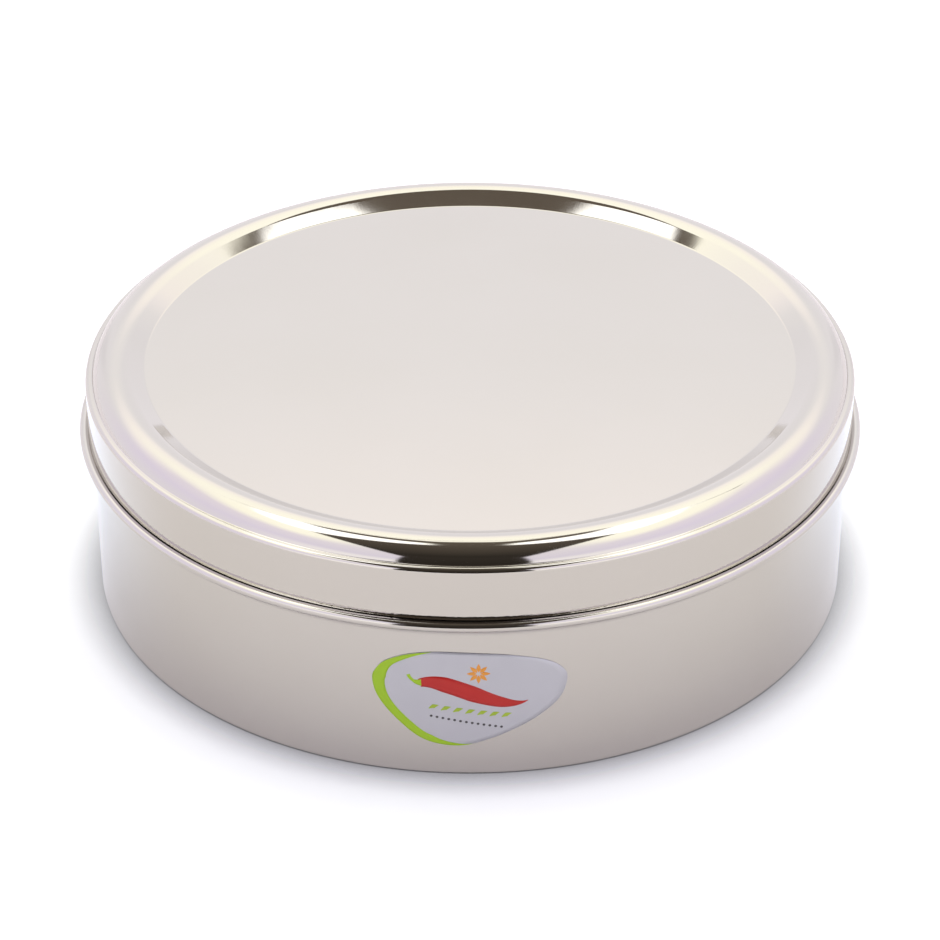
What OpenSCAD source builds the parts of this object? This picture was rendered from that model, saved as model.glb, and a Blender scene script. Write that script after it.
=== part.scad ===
// Round stainless steel spice box: a shallow tub with seven cups, an inner plate with a
// folding ring, a small spoon, and an outer lid that slips over the tub's neck.
// Millimetres, +Z up, origin at the centre of the underside of the tub.

/* [Tub] */
// Outer radius of the tub's wall
tub_r = 101.6; // [96:0.2:110]
// Height of the tub, neck and hem included
tub_h = 59.8; // [58:0.1:60]
// Sheet thickness of the tub
tub_t = 0.6; // [0.5:0.1:0.8]
// Radius of the corner between the tub's base and its wall
tub_corner_r = 0.9; // [0.9:0.1:3]
// Height of the swaged bead's centre above the base
bead_z = 45.95; // [42:0.05:47]
// Radius of the swaged bead's round section
bead_r = 1.35; // [1.2:0.05:1.6]
// How far the bead's centre stands out from the wall
bead_out = 1.85; // [1.7:0.05:2]

/* [Lid] */
// Overall height of the closed box
box_h = 66; // [65.5:0.1:68]
// Outer radius of the lid's skirt
lid_r = 102.4; // [102.3:0.1:102.5]
// Sheet thickness of the lid
lid_t = 0.5; // [0.4:0.1:0.6]
// Radius of the flat recessed disc, to the foot of the ridge
disc_r = 86.5; // [80:0.1:88]
// Depth of the recessed disc below the ridge's crest
disc_drop = 3.2; // [2:0.1:4]
// Radius of the circle on which the ridge's crest runs
crest_r = 94.2; // [93:0.1:95]
// Radius of the ridge's round section
ridge_r = 6.9; // [6:0.1:7.5]
// Drop from the ridge's crest to the ledge outside it
ledge_drop = 4.3; // [3.8:0.1:4.6]
// Radius of the corner between the ledge and the skirt
lid_corner_r = 1.25; // [0.8:0.05:1.4]

/* [Cups] */
// Outer radius of a cup's rolled rim
cup_r = 32.6; // [28:0.1:32.6]
// Height of a cup
cup_h = 44; // [36:0.5:44]
// Sheet thickness of a cup
cup_t = 0.5; // [0.4:0.1:0.6]
// Radius of the curve at the foot of a cup's wall
cup_corner_r = 5; // [3:0.5:8]
// How much narrower a cup's wall is at its foot than at its rim
cup_taper = 1; // [0:0.1:3]
// Gap between the rims of neighbouring cups
cup_gap = 0.8; // [0.6:0.1:1.2]

/* [Inner plate] */
// Radius of the inner plate
plate_r = 98.5; // [96:0.1:98.8]
// Sheet thickness of the inner plate
plate_t = 0.5; // [0.4:0.1:0.6]
// Radius of the plate's flat middle
plate_flat_r = 86; // [80:0.5:88]
// Rise of the plate's rim above its flat middle
plate_step = 3; // [2.6:0.1:4]

/* [Ring handle] */
// Radius of the ring's wire
wire_r = 1.1; // [0.9:0.1:1.3]
// Half of the ring's width, to the middle of its wire
ring_half_w = 11.5; // [10:0.1:13]
// Reach of the ring from its hinge, to the middle of its wire
ring_reach = 21.5; // [18:0.1:24]
// Width of the clip that holds the ring
clip_w = 10; // [8:0.5:12]

/* [Spoon] */
// Radius of the spoon's bowl at its rim
bowl_r = 13; // [11:0.5:14]
// Depth of the spoon's bowl
bowl_depth = 8; // [7:0.5:9]
// Length of the spoon's handle
handle_l = 92; // [70:1:100]
// Sheet thickness of the spoon
spoon_t = 0.8; // [0.6:0.1:1]

/* [Label] */
// Thickness of the printed film
label_t = 0.2; // [0.15:0.05:0.3]
// Height of the label's lowest point above the base
label_z = 9; // [6:0.5:12]

/* [Hidden] */
$fn = 96;

rest_gap = 0.2;                       // between pieces that rest on one another
flare_z = bead_z - 3.95;              // where the wall starts to flare into the bead
neck_r = tub_r - 0.1;                 // outer radius of the neck inside the lid
neck_fillet_r = 0.8;
hem_r = 0.95;                         // the neck's rolled-in top edge
hem_leg = 1.3;

disc_z = box_h - disc_drop;
ledge_z = box_h - ledge_drop;
ridge_c = [crest_r, box_h - ridge_r];
disc_fillet_r = 1;
ledge_fillet_r = 0.4;
skirt_z = bead_z + bead_r - 0.05;     // bottom edge of the skirt, in the valley behind the bead

cup_z = tub_t + rest_gap;
cup_lip_r = 0.45;
cup_pitch = 2 * cup_r + cup_gap;

plate_z = cup_z + cup_h + rest_gap;
plate_top = plate_z + plate_t;
plate_slope = 65;                     // steepness of the step in the plate, in degrees
plate_foot_r = 1.5;
plate_knee_r = 1;
plate_edge_r = 0.4;
plate_edge_leg = 1.2;

hinge_z = plate_top + 0.3 + wire_r;   // the ring lies just clear of the plate
hinge_play = 0.15;
clip_t = 0.6;
clip_foot = 5;
ring_bar = 8;                         // half of the straight length of wire inside the clip
ring_corner_r = ring_half_w - ring_bar;
ring_arm_y = ring_reach - ring_half_w;

bowl_c = [-42, 40];                   // middle of the spoon's bowl, seen from above
bowl_sphere_r = (bowl_r * bowl_r + bowl_depth * bowl_depth) / (2 * bowl_depth);
bowl_z = plate_top + 0.25;            // lowest point of the spoon's bowl
handle_end_r = 5;
handle_neck_w = 5.4;

label_corner_r = 6;

// Points on an arc of radius r about c, from angle a to angle b
function arc(c, r, a, b, n = 8) = [for (i = [0:n]) c + r * [cos(a + (b - a) * i / n), sin(a + (b - a) * i / n)]];

function unit(v) = v / norm(v);
function heading(path, i) = unit(path[i + 1] - path[i]);
function turn(path, i) =
    i == 0 ? heading(path, 0) :
    i == len(path) - 1 ? heading(path, i - 1) :
    unit(heading(path, i - 1) + heading(path, i));

// Outline of a sheet whose one face follows the path, with its thickness t to the left of it
function sheet(path, t) = concat(path, [
    for (i = [len(path) - 1:-1:0]) path[i] + t * [-turn(path, i).y, turn(path, i).x]
]);

// Points on a cubic curve with ends a and d and handles b and c
function curve(a, b, c, d, n = 16) = [
    for (i = [0:n]) let (u = i / n)
        pow(1 - u, 3) * a + 3 * u * pow(1 - u, 2) * b + 3 * u * u * (1 - u) * c + pow(u, 3) * d
];

// Radius of the arc that leaves a wall upright and meets the bead, from their height apart
function flare_r(rise) = (rise * rise + bead_out * bead_out - bead_r * bead_r) / (2 * (bead_out + bead_r));

// A pressed round vessel, spun from its outer face
module spun(path, t) {
    rotate_extrude($fn = 180) polygon(sheet(path, t));
}

// Base, wall, swaged bead, neck and rolled-in hem in one pressed sheet
module tub() {
    bead_c = [tub_r + bead_out, bead_z];
    low_r = flare_r(bead_z - flare_z);
    low_c = [tub_r + low_r, flare_z];
    low_a = atan2(bead_z - flare_z, bead_c.x - low_c.x);
    top_c = [neck_r + neck_fillet_r,
             bead_z + sqrt(pow(bead_r + neck_fillet_r, 2) - pow(bead_c.x - neck_r - neck_fillet_r, 2))];
    top_a = atan2(top_c.y - bead_z, top_c.x - bead_c.x);
    hem_z = tub_h - hem_r;
    color("lightsteelblue") spun(concat(
        [[0, 0]],
        arc([tub_r - tub_corner_r, tub_corner_r], tub_corner_r, -90, 0, 6),
        arc(low_c, low_r, 180, low_a + 4, 6),
        arc(bead_c, bead_r, low_a - 180, top_a, 14),
        arc(top_c, neck_fillet_r, top_a - 184, -180, 6),
        arc([neck_r - hem_r, hem_z], hem_r, 0, 180, 10),
        [[neck_r - 2 * hem_r, hem_z - hem_leg]]
    ), tub_t);
}

// Outline of the label: a rounded triangle with bulging sides, as corners of one blend
module label_outline() {
    left = [-18, 21.3];
    right = [18, 20.4];
    low = [-1.5, 6.2];
    top_bulge = [-3, 22.2];
    left_bulge = [-12, 11.8];
    right_bulge = [8.5, 11.3];
    hull() {
        for (p = [left, top_bulge, right, right_bulge, low, left_bulge]) {
            translate(p) circle(r = label_corner_r, $fn = 32);
        }
    }
}

// Thin film on the front of the wall
module label() {
    color("silver") intersection() {
        translate([0, 0, label_z]) rotate([90, 0, 0]) linear_extrude(height = tub_r + 5) label_outline();
        rotate_extrude($fn = 180) translate([tub_r + 0.02, 0]) square([label_t, flare_z]);
    }
}

// Recessed disc, ridge, ledge and skirt in one pressed sheet
module lid() {
    foot_c = [disc_r, disc_z + disc_fillet_r];
    run = ridge_c - foot_c;
    rise_a = atan2(run.y, run.x) + asin((disc_fillet_r + ridge_r) / norm(run));
    crease_h = ledge_z + ledge_fillet_r - ridge_c.y;
    crease_c = [crest_r + sqrt(pow(ridge_r + ledge_fillet_r, 2) - crease_h * crease_h),
                ledge_z + ledge_fillet_r];
    crease_a = atan2(crease_h, crease_c.x - crest_r);
    color("gainsboro") spun(concat(
        [[lid_r, skirt_z]],
        arc([lid_r - lid_corner_r, ledge_z - lid_corner_r], lid_corner_r, 0, 90),
        arc(crease_c, ledge_fillet_r, -90, crease_a - 180, 4),
        arc(ridge_c, ridge_r, crease_a, 90 + rise_a, 20),
        arc(foot_c, disc_fillet_r, rise_a - 90, -90, 5),
        [[0, disc_z]]
    ), lid_t);
}

// Flat plate with a raised, turned-down rim that rests on the cups
module inner_plate() {
    foot_c = [plate_flat_r, plate_z + plate_foot_r];
    knee_z = plate_z + plate_step - plate_knee_r;
    foot_end = foot_c + plate_foot_r * [sin(plate_slope), -cos(plate_slope)];
    knee_start_z = knee_z + plate_knee_r * cos(plate_slope);
    knee_x = foot_end.x + (knee_start_z - foot_end.y) / tan(plate_slope) + plate_knee_r * sin(plate_slope);
    edge_x = plate_r - plate_t - plate_edge_r;
    edge_z = plate_z + plate_step - plate_edge_r;
    color("lightgray") spun(concat(
        [[0, plate_z]],
        arc(foot_c, plate_foot_r, -90, plate_slope - 90, 6),
        arc([knee_x, knee_z], plate_knee_r, 90 + plate_slope, 90, 6),
        arc([edge_x, edge_z], plate_edge_r, 90, 0, 6),
        [[edge_x + plate_edge_r, edge_z - plate_edge_leg]]
    ), plate_t);
}

// Bent strap, spot-welded to the plate, with the tunnel in which the ring turns
module ring_clip() {
    bore_r = wire_r + hinge_play;
    color("darkgray") difference() {
        union() {
            translate([-clip_w / 2, 0, hinge_z]) rotate([0, 90, 0]) cylinder(r = bore_r + clip_t, h = clip_w);
            translate([-clip_w / 2, -bore_r - clip_t, plate_top])
                cube([clip_w, 2 * (bore_r + clip_t), hinge_z - plate_top]);
            translate([-clip_w / 2, -bore_r - clip_foot, plate_top])
                cube([clip_w, 2 * (bore_r + clip_foot), clip_t]);
        }
        translate([-clip_w, 0, hinge_z]) rotate([0, 90, 0]) cylinder(r = bore_r, h = 2 * clip_w);
        translate([-clip_w, -bore_r, plate_top - 5]) cube([2 * clip_w, 2 * bore_r, hinge_z - plate_top + 5]);
        translate([-clip_w, -clip_w, plate_top - 5]) cube([2 * clip_w, 2 * clip_w, 5]);
    }
}

// A bend of wire about a point in the ring's plane
module wire_bend(c, r, from, sweep) {
    translate(c) rotate([0, 0, from]) rotate_extrude(angle = sweep) translate([r, 0]) circle(r = wire_r, $fn = 32);
}

// D-shaped wire ring, lying flat towards the front
module ring_handle() {
    color("silver") translate([0, 0, hinge_z]) {
        translate([-ring_bar, 0, 0]) rotate([0, 90, 0]) cylinder(r = wire_r, h = 2 * ring_bar, $fn = 32);
        wire_bend([ring_bar, -ring_corner_r], ring_corner_r, 0, 90);
        wire_bend([-ring_bar, -ring_corner_r], ring_corner_r, 90, 90);
        wire_bend([0, -ring_arm_y], ring_half_w, 180, 180);
        for (side = [-1, 1]) {
            translate([side * ring_half_w, -ring_arm_y, 0]) rotate([-90, 0, 0])
                cylinder(r = wire_r, h = ring_arm_y - ring_corner_r, $fn = 32);
        }
    }
}

// Small round-bowled serving spoon, lying on the inner plate
module spoon() {
    rim_z = bowl_z + bowl_depth;
    start = [bowl_r - 0.5, rim_z - spoon_t];
    color("silver") translate([bowl_c.x, bowl_c.y, 0]) {
        translate([0, 0, bowl_z + bowl_sphere_r]) difference() {
            sphere(r = bowl_sphere_r);
            sphere(r = bowl_sphere_r - spoon_t);
            translate([-20, -20, bowl_depth - bowl_sphere_r]) cube(40);
        }
        intersection() {
            rotate([90, 0, 0]) linear_extrude(height = 40, center = true) polygon(sheet(curve(
                start, start + [12, 2.4], [handle_l * 0.55, plate_top + 4], [bowl_r + handle_l, plate_top + 1.2]
            ), spoon_t));
            linear_extrude(height = 100) {
                polygon([[bowl_r - 1, -handle_neck_w / 2 - 1], [bowl_r + 6, -handle_neck_w / 2],
                         [bowl_r + handle_l - handle_end_r, -handle_end_r],
                         [bowl_r + handle_l - handle_end_r, handle_end_r],
                         [bowl_r + 6, handle_neck_w / 2], [bowl_r - 1, handle_neck_w / 2 + 1]]);
                translate([bowl_r + handle_l - handle_end_r, 0]) circle(r = handle_end_r);
            }
        }
    }
}

// One cup with a curved foot, a slight taper and a rolled-out lip
module cup(place) {
    wall_r = cup_r - 2 * cup_lip_r - cup_t;
    foot_c = [wall_r - cup_taper - cup_corner_r, cup_z + cup_corner_r];
    lip_c = [wall_r + cup_lip_r, cup_z + cup_h - cup_lip_r - cup_t];
    color("gainsboro") translate(place) spun(concat(
        [[0, cup_z]],
        arc(foot_c, cup_corner_r, -90, 0),
        arc(lip_c, cup_lip_r, 180, -60, 12)
    ), cup_t);
}

// Place of a cup in the ring of six, the first one at the back
function ring_place(i) = cup_pitch * [cos(90 + 60 * i), sin(90 + 60 * i)];

module cup_centre() cup([0, 0]);
module cup_1() cup(ring_place(0));
module cup_2() cup(ring_place(1));
module cup_3() cup(ring_place(2));
module cup_4() cup(ring_place(3));
module cup_5() cup(ring_place(4));
module cup_6() cup(ring_place(5));

tub();
label();
lid();
inner_plate();
ring_clip();
ring_handle();
spoon();
cup_centre();
cup_1();
cup_2();
cup_3();
cup_4();
cup_5();
cup_6();
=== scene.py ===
import math

import bpy
import numpy as np
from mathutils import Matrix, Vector


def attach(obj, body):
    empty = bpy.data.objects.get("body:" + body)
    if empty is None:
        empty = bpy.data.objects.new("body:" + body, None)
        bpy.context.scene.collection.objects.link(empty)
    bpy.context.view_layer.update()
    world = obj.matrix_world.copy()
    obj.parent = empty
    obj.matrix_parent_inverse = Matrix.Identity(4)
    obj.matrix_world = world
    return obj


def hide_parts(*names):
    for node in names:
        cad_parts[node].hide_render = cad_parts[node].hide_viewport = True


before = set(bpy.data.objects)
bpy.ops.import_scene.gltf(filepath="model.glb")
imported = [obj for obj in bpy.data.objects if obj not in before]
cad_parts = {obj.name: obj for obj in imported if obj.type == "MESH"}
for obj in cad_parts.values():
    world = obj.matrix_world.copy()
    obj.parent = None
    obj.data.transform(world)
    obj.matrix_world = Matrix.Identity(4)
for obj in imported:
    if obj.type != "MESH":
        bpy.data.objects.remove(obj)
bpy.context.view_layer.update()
print("frame loaded:", len(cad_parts), "nodes")

mm = 0.001


# Points on a circular arc about centre, from one angle to the other, a step of some degrees apart
def arcPoints(centre, radius, fromDeg, toDeg, step=3.0):
    count = max(4, int(abs(toDeg - fromDeg) / step))
    angle = np.radians(np.linspace(fromDeg, toDeg, count + 1))
    return np.stack([centre[0] + radius * np.cos(angle), centre[1] + radius * np.sin(angle)], 1)


# Joins pieces of a profile, and crowds a few points at both ends of every straight run,
# so that the smooth normals bend only at the arcs and the flats stay flat
def joinProfile(*parts):
    path = np.vstack([np.atleast_2d(np.array(p, float)) for p in parts])
    keep = np.r_[True, np.linalg.norm(np.diff(path, axis=0), axis=1) > 1e-5]
    path = path[keep]
    out = [path[:1]]
    for a, b in zip(path[:-1], path[1:]):
        run = np.linalg.norm(b - a)
        if run > 1.0:
            ends = np.array([0.04, 0.15, 0.4])      # mm from each end of the run
            inner = np.linspace(ends[-1], run - ends[-1], max(2, int(run / 9) + 2))[1:-1]
            at = np.unique(np.r_[ends, inner, run - ends])
            out.append(a + (b - a) * (at / run)[:, None])
        out.append(b[None, :])
    return np.vstack(out)


# The other face of a sheet: every point moves by the thickness along the normal to its left
def offsetProfile(path, thickness):
    step = np.diff(path, axis=0)
    step /= np.linalg.norm(step, axis=1)[:, None]
    turn = np.vstack([step[:1], step[:-1] + step[1:], step[-1:]])
    turn /= np.linalg.norm(turn, axis=1)[:, None]
    return path + thickness * np.stack([-turn[:, 1], turn[:, 0]], 1)


# A whole sheet as one profile from pole to pole: out along one face, round the cut edge
# on a half circle, and back along the other face
def sheetProfile(path, thickness):
    other = offsetProfile(path, thickness)
    tip, back = path[-1], other[-1]
    middle, across = (tip + back) / 2, (tip - back) / 2
    along = np.array([across[1], -across[0]])
    if np.dot(along, path[-1] - path[-2]) < 0:
        along = -along
    turn = np.radians(np.linspace(0, 180, 9))[1:-1, None]
    nose = middle + across * np.cos(turn) + along * 0.5 * np.sin(turn)
    return np.vstack([path, nose, other[::-1]])


# Spins a profile (radius, height) about a vertical axis: x = r cos a, y = r sin a, z = height
def spinRings(profile, around, centre=(0.0, 0.0)):
    angle = np.linspace(0, 2 * np.pi, around, endpoint=False)
    r, z = profile[:, :1], profile[:, 1:2]
    return np.stack([centre[0] + r * np.cos(angle), centre[1] + r * np.sin(angle),
                     z + 0 * angle], -1)


# Faces of one closed surface from rows of rings. With poles the first and last row each shrink
# to one point; without them the last row joins the first, as on a closed wire.
def ringFaces(rings, poles):
    rows, around = rings.shape[:2]
    nextAround = np.roll(np.arange(around), -1)
    if poles:
        body = rings[1:-1].reshape(-1, 3)
        points = np.vstack([body, rings[0].mean(0), rings[-1].mean(0)])
        grid = np.arange((rows - 2) * around).reshape(rows - 2, around)
        low, high = grid[:-1], grid[1:]
        fanA = np.stack([np.full(around, len(body)), grid[0, nextAround], grid[0]], 1)
        fanB = np.stack([np.full(around, len(body) + 1), grid[-1], grid[-1, nextAround]], 1)
        triangles = np.vstack([fanA, fanB])
    else:
        points = rings.reshape(-1, 3)
        grid = np.arange(rows * around).reshape(rows, around)
        low, high = grid, np.roll(grid, -1, axis=0)
        triangles = np.zeros((0, 3), int)
    quads = np.stack([low, low[:, nextAround], high[:, nextAround], high], -1).reshape(-1, 4)
    halves = np.vstack([quads[:, [0, 1, 2]], quads[:, [0, 2, 3]], triangles])
    p, q, r = points[halves].transpose(1, 0, 2)
    if np.einsum("ij,ij->i", p, np.cross(q, r)).sum() < 0:    # its volume says which way it faces
        quads, triangles = quads[:, ::-1], triangles[:, ::-1]
    return points, quads, triangles


# Builds one mesh object, in metres, from one or more sets of rings in millimetres
def ringMesh(name, *parts, poles=True):
    allPoints, allQuads, allTriangles, start = [], [], [], 0
    for rings in parts:
        points, quads, triangles = ringFaces(rings, poles)
        allPoints.append(points)
        allQuads.append(quads + start)
        allTriangles.append(triangles + start)
        start += len(points)
    quads, triangles = np.vstack(allQuads), np.vstack(allTriangles)
    mesh = bpy.data.meshes.new(name)
    mesh.vertices.add(start)
    mesh.vertices.foreach_set("co", (np.vstack(allPoints) * mm).astype(np.float32).ravel())
    corners = np.concatenate([quads.ravel(), triangles.ravel()])
    starts = np.concatenate([np.arange(len(quads)) * 4,
                             len(quads) * 4 + np.arange(len(triangles)) * 3])
    mesh.loops.add(len(corners))
    mesh.loops.foreach_set("vertex_index", corners.astype(np.int32))
    mesh.polygons.add(len(starts))
    mesh.polygons.foreach_set("loop_start", starts.astype(np.int32))
    mesh.polygons.foreach_set("use_smooth", np.ones(len(starts), bool))
    mesh.update(calc_edges=True)
    mesh.validate()
    piece = bpy.data.objects.new(name, mesh)
    bpy.context.scene.collection.objects.link(piece)
    return piece


# Gives a piece its material and its body, and hides the CAD nodes it stands for
def finishPiece(piece, material, body, slot, *nodes):
    piece.data.materials.append(material)
    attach(piece, body)
    if nodes:
        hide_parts(*nodes)
    print("piece:", piece.name, len(piece.data.polygons), "faces")


# sRGB hex to linear colour
def linearColour(hexText):
    part = [int(hexText[i:i + 2], 16) / 255 for i in (1, 3, 5)]
    return [c / 12.92 if c <= 0.04045 else ((c + 0.055) / 1.055) ** 2.4 for c in part] + [1.0]


# Adds one node: inputs maps a socket to a value, a socket or a node, settings are its properties
def addNode(tree, kind, inputs=None, **settings):
    node = tree.nodes.new(kind)
    for key, value in settings.items():
        setattr(node, key, value)
    for key, value in (inputs or {}).items():
        if isinstance(value, bpy.types.Node):
            value = value.outputs[0]
        if isinstance(value, bpy.types.NodeSocket):
            tree.links.new(value, node.inputs[key])
        else:
            node.inputs[key].default_value = value
    return node


# A new material with an empty node tree
def emptyMaterial(name):
    material = bpy.data.materials.new(name)
    material.use_nodes = True
    material.node_tree.nodes.clear()
    return material


# Austenitic stainless steel sheet or wire, pressed and buffed: nearly a mirror, warm grey,
# with fine buffing lines, a faint orange peel from drawing, and patches handled a little duller.
# The lines' cells are stretched round the axis (turned and spun pieces) or outwards from it (the
# lid), as cellRoundMm, measured at radiusMm, is longer or shorter than cellAlongMm.
def stainlessSteel(name, look):
    material = emptyMaterial(name)
    tree = material.node_tree
    place = addNode(tree, "ShaderNodeTexCoord").outputs["Object"]
    centred = addNode(tree, "ShaderNodeMapping",
                      {"Vector": place, "Location": look.get("centre", (0, 0, 0))})
    split = addNode(tree, "ShaderNodeSeparateXYZ", {0: centred})
    flat = addNode(tree, "ShaderNodeCombineXYZ", {0: split.outputs[0], 1: split.outputs[1]})
    radius = addNode(tree, "ShaderNodeVectorMath", {0: flat}, operation="LENGTH").outputs["Value"]
    heading = addNode(tree, "ShaderNodeVectorMath", {0: flat}, operation="NORMALIZE")
    # a number that grows along the profile: radius on the flats plus height on the walls
    along = addNode(tree, "ShaderNodeMath", {0: radius, 1: split.outputs[2]}, operation="ADD")
    turns = addNode(tree, "ShaderNodeVectorMath",
                    {0: heading, "Scale": look["radiusMm"] / look["cellRoundMm"]}, operation="SCALE")
    turnSplit = addNode(tree, "ShaderNodeSeparateXYZ", {0: turns})
    alongLines = addNode(tree, "ShaderNodeMath", {0: along, 1: 1 / (look["cellAlongMm"] * mm)},
                         operation="MULTIPLY")
    lineSpace = addNode(tree, "ShaderNodeCombineXYZ",
                        {0: turnSplit.outputs[0], 1: turnSplit.outputs[1], 2: alongLines})
    lines = addNode(tree, "ShaderNodeTexNoise",
                    {"Vector": lineSpace, "Scale": 1.0, "Detail": 3.0, "Roughness": 0.6})
    waves = addNode(tree, "ShaderNodeTexNoise",
                    {"Vector": place, "Scale": 1 / (look["waveMm"] * mm), "Detail": 1.0, "Roughness": 0.4})
    patches = addNode(tree, "ShaderNodeTexNoise",
                      {"Vector": place, "Scale": 1 / (look["patchMm"] * mm), "Detail": 4.0,
                       "Roughness": 0.55})
    peel = addNode(tree, "ShaderNodeTexNoise",
                   {"Vector": place, "Scale": 1 / (look["peelMm"] * mm), "Detail": 2.0, "Roughness": 0.5})
    waveBump = addNode(tree, "ShaderNodeBump",
                       {"Height": waves, "Strength": 1.0, "Distance": look["waveDepthMm"] * mm})
    peelBump = addNode(tree, "ShaderNodeBump",
                       {"Height": peel, "Strength": 1.0, "Distance": look["peelDepthMm"] * mm,
                        "Normal": waveBump})
    lineBump = addNode(tree, "ShaderNodeBump",
                       {"Height": lines, "Strength": 1.0, "Distance": look["lineDepthMm"] * mm,
                        "Normal": peelBump})
    if "edgeDepthMm" in look:
        # the trimmed edge of a sheet is a little uneven: small dents that grow towards it
        edge = addNode(tree, "ShaderNodeMapRange",
                       {"Value": split.outputs[2], "From Min": look["edgeFromZ"] * mm,
                        "From Max": look["edgeToZ"] * mm}, interpolation_type="SMOOTHSTEP")
        dents = addNode(tree, "ShaderNodeTexNoise",
                        {"Vector": place, "Scale": 1 / (look["edgeDentMm"] * mm), "Detail": 3.0})
        dented = addNode(tree, "ShaderNodeMath", {0: edge, 1: dents}, operation="MULTIPLY")
        lineBump = addNode(tree, "ShaderNodeBump",
                           {"Height": dented, "Strength": 1.0, "Distance": look["edgeDepthMm"] * mm,
                            "Normal": lineBump})
    patchRough = addNode(tree, "ShaderNodeMapRange",
                         {"Value": patches, "From Min": 0.35, "From Max": 0.75,
                          "To Min": look["roughness"], "To Max": look["dullRoughness"]})
    lineRough = addNode(tree, "ShaderNodeMapRange",
                        {"Value": lines, "From Min": 0.3, "From Max": 0.8,
                         "To Min": 0.85, "To Max": 1.25})
    rough = addNode(tree, "ShaderNodeMath", {0: patchRough, 1: lineRough}, operation="MULTIPLY")
    tint = addNode(tree, "ShaderNodeMix", {"Factor": patches, 6: linearColour(look["colour"]),
                                           7: linearColour(look["worn"])}, data_type="RGBA")
    shader = addNode(tree, "ShaderNodeBsdfPrincipled",
                     {"Base Color": tint.outputs[2], "Metallic": 1.0, "Roughness": rough,
                      "Normal": lineBump})
    addNode(tree, "ShaderNodeOutputMaterial", {"Surface": shader})
    return material


stageLook = {
    "seenColour": (1.26, 1.31, 1.37),
    # painted light: the mirrored card's near, far and outer colours, brighter and bluer away from the camera,
    # for the steel to mirror
    "mirroredNear": (0.950, 0.940, 0.945),
    "mirroredFar": (1.28, 1.38, 1.58),
    "mirroredOuter": (1.04, 1.02, 1.08),
    "floorRadius": 3.0,
    "mirroredZ": -0.0003,                # the mirrored card lies a hair lower
    "farFromY": -0.07, "farToY": 0.06,   # where its near colour turns to the far one
    "outerFrom": 0.13, "outerTo": 0.20,  # where that turns to the outer one, from the axis
    "cornerShade": 0.011,                # how far the shade at the foot of a wall reaches
    "cameraPlace": (0.0, -0.72190, 0.47520),
    "cameraTarget": (0.0, 0.0, 0.02638),
    "lens": 119.1,
}

# Radiance of the white tent by the sine of the elevation, on its far side, flanks and near side
tentLook = {
    "back": [(0.00, (1.14, 1.11, 1.15)), (0.42, (1.17, 1.15, 1.18)), (0.50, (1.235, 1.215, 1.22)),
             (0.545, (1.38, 1.33, 1.31)), (0.59, (1.50, 1.44, 1.36)), (0.72, (1.60, 1.58, 1.38)),
             (1.00, (1.70, 1.68, 1.45))],
    "flank": [(0.00, (1.16, 1.12, 1.20)), (0.45, (1.14, 1.06, 1.26)), (0.70, (1.22, 1.14, 1.26)),
              (0.81, (1.62, 1.60, 1.36)), (1.00, (1.70, 1.68, 1.45))],
    "front": [(0.00, (1.50, 1.46, 1.40)), (0.26, (1.45, 1.42, 1.38)), (0.45, (1.10, 1.04, 1.20)),
              (0.80, (1.20, 1.14, 1.22)), (1.00, (1.60, 1.58, 1.40))],
    "darkLow": (0.026, 0.022, 0.017),    # the room behind the opening, low down
    "darkHigh": (0.060, 0.050, 0.040),   # and overhead
    "openingTop": 0.41,                  # half width of the opening overhead, per unit of height
    "openingFront": 0.34,                # and in front, per unit of distance
    "openingShift": 0.03,                # it lies a little to the left
    "seamAt": 0.485,                     # seams of the tent, as the sine of their bearing
    "seamWidth": 0.12, "seamShare": 0.13,
    "seamLight": (0.18, 0.17, 0.18),
    "strength": 2.0,
}


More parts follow.
